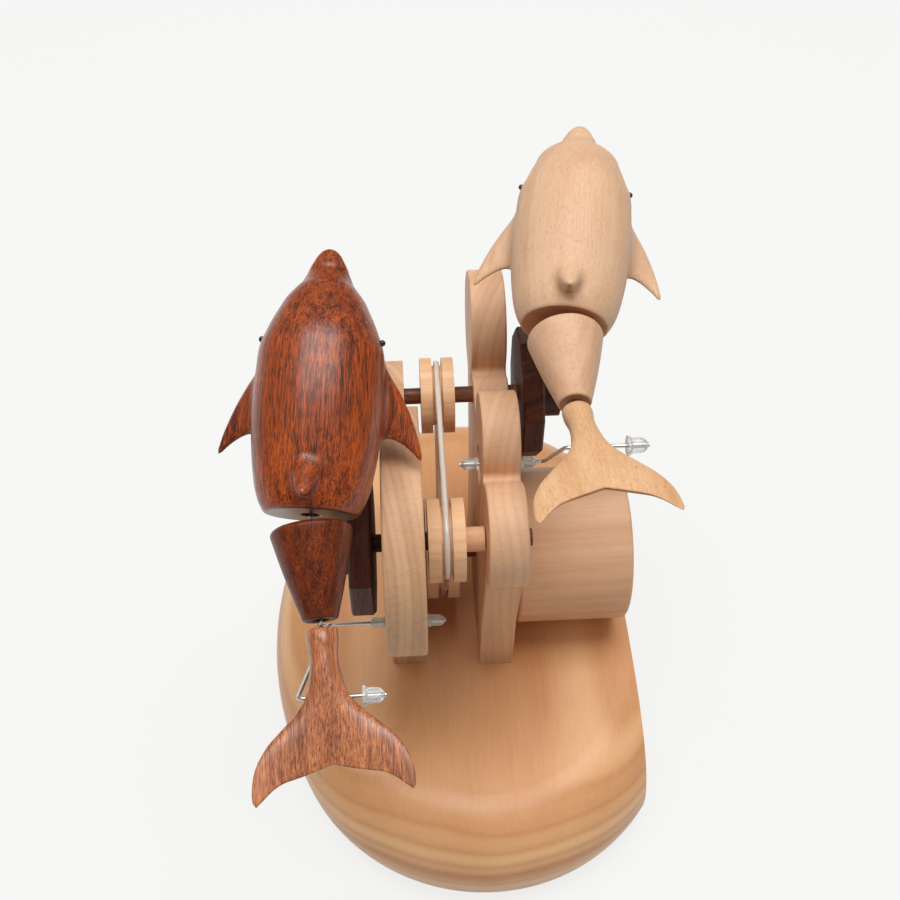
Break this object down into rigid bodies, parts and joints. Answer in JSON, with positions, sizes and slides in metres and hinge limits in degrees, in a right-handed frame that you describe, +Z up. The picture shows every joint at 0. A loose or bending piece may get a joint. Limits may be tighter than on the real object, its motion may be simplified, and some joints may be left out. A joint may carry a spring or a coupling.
{
  "type": "wooden automaton with two swimming dolphins",
  "caption": "Wooden automaton: a hand drum and belt turn cranks that make articulated wooden dolphins swim above a rounded base.",
  "frame": {"origin": "on the flat underside of the base, straight below the axle of the drum and midway between the pulleys' outer faces", "axes": "+X to the right along the shafts towards the drum, +Y towards the noses, +Z up"},
  "size_m": [0.1441, 0.2345, 0.2097],
  "materials": {
    "base_beech": "satin oil",
    "plate_beech": "satin oil",
    "drum_beech": "satin oil",
    "pulley_beech": "satin oil",
    "dowel_wood": "satin oil",
    "dark_wood": "satin oil",
    "dark_dolphin_wood": "satin oil, open pores",
    "light_dolphin_wood": "satin oil",
    "steel_wire": "bright drawn",
    "clear_silicone": "clear, smooth",
    "clear_belt": "clear, smooth",
    "black_bead": "gloss"
  },
  "bodies": {
    "frame": {"base_block": "base_beech", "left_plate_dowels": "dowel_wood", "right_plate_dowels": "dowel_wood", "left_frame_plate": "plate_beech", "right_frame_plate": "plate_beech", "drive_belt": "clear_belt"},
    "drum_shaft": {"hand_drum": "drum_beech", "main_shaft": "dowel_wood", "drive_pulley_discs": "pulley_beech", "drive_pulley_core": "pulley_beech"},
    "front_crankshaft": {"front_axle": "dowel_wood", "front_pulley_discs": "pulley_beech", "front_pulley_core": "pulley_beech", "front_axle_spacer": "pulley_beech", "dark_crank_disc": "dark_wood", "dark_crank_pin": "steel_wire"},
    "back_crankshaft": {"back_axle": "dowel_wood", "back_pulley_discs": "pulley_beech", "back_pulley_core": "pulley_beech", "light_crank_disc": "dark_wood", "light_crank_pin": "steel_wire"},
    "dark_swimmer": {"dark_arm": "dark_wood", "dark_body": "dark_dolphin_wood", "dark_eyes": "black_bead", "dark_body_eyelet": "steel_wire"},
    "dark_mid_tail": {"dark_tail_cone": "dark_dolphin_wood", "dark_cone_eyelets": "steel_wire"},
    "dark_tail_fluke": {"dark_fluke": "dark_dolphin_wood", "dark_fluke_eyelet": "steel_wire"},
    "dark_linkage": {"dark_wire": "steel_wire", "dark_wire_stoppers": "clear_silicone"},
    "light_swimmer": {"light_arm": "dark_wood", "light_body": "light_dolphin_wood", "light_eyes": "black_bead", "light_body_eyelet": "steel_wire"},
    "light_mid_tail": {"light_tail_cone": "light_dolphin_wood", "light_cone_eyelets": "steel_wire"},
    "light_tail_fluke": {"light_fluke": "light_dolphin_wood", "light_fluke_eyelet": "steel_wire"},
    "light_linkage": {"light_wire": "steel_wire", "light_wire_stoppers": "clear_silicone"}
  },
  "joints": [
    {"name": "drum_turn", "type": "hinge", "parent": "frame", "child": "drum_shaft", "pos_m": [0, 0, 0.0686], "axis": [1, 0, 0], "continuous": true},
    {"name": "front_crank_turn", "type": "hinge", "parent": "frame", "child": "front_crankshaft", "pos_m": [0, -0.035, 0.12299], "axis": [1, 0, 0], "continuous": true},
    {"name": "back_crank_turn", "type": "hinge", "parent": "frame", "child": "back_crankshaft", "pos_m": [0, 0.031, 0.12299], "axis": [1, 0, 0], "continuous": true},
    {"name": "dark_ride", "type": "hinge", "parent": "front_crankshaft", "child": "dark_swimmer", "pos_m": [-0.0407, -0.03164, 0.11801], "axis": [1, 0, 0], "continuous": true},
    {"name": "dark_tail_hinge", "type": "hinge", "parent": "dark_swimmer", "child": "dark_mid_tail", "pos_m": [-0.0407, -0.0557, 0.16439], "axis": [1, 0, 0], "range_deg": [-6, 6]},
    {"name": "dark_fluke_hinge", "type": "hinge", "parent": "dark_mid_tail", "child": "dark_tail_fluke", "pos_m": [-0.0407, -0.08431, 0.15277], "axis": [1, 0, 0], "range_deg": [-15.9, 15.9]},
    {"name": "dark_wire_swing", "type": "hinge", "parent": "dark_tail_fluke", "child": "dark_linkage", "pos_m": [-0.0407, -0.10298, 0.14668], "axis": [1, 0, 0], "range_deg": [-9.8, 9.8]},
    {"name": "light_ride", "type": "hinge", "parent": "back_crankshaft", "child": "light_swimmer", "pos_m": [0.0392, 0.02764, 0.12796], "axis": [1, 0, 0], "continuous": true},
    {"name": "light_tail_hinge", "type": "hinge", "parent": "light_swimmer", "child": "light_mid_tail", "pos_m": [0.0392, 0.0023, 0.18099], "axis": [1, 0, 0], "range_deg": [-6, 6]},
    {"name": "light_fluke_hinge", "type": "hinge", "parent": "light_mid_tail", "child": "light_tail_fluke", "pos_m": [0.0392, -0.02862, 0.17882], "axis": [1, 0, 0], "range_deg": [-18.9, 18.9]},
    {"name": "light_wire_swing", "type": "hinge", "parent": "light_tail_fluke", "child": "light_linkage", "pos_m": [0.0392, -0.04759, 0.18376], "axis": [1, 0, 0], "range_deg": [-11.6, 11.6]}
  ],
  "couplings": [
    {"joint": "front_crank_turn", "follows": "drum_turn", "ratio": 1.449},
    {"joint": "back_crank_turn", "follows": "drum_turn", "ratio": 1.449},
    {"joint": "dark_ride", "follows": "drum_turn", "ratio": -1.449},
    {"joint": "dark_fluke_hinge", "follows": "dark_tail_hinge", "ratio": -2.6236},
    {"joint": "dark_wire_swing", "follows": "dark_tail_hinge", "ratio": 1.5944},
    {"joint": "light_ride", "follows": "drum_turn", "ratio": -1.449},
    {"joint": "light_fluke_hinge", "follows": "light_tail_hinge", "ratio": -3.118},
    {"joint": "light_wire_swing", "follows": "light_tail_hinge", "ratio": 1.8948}
  ]
}
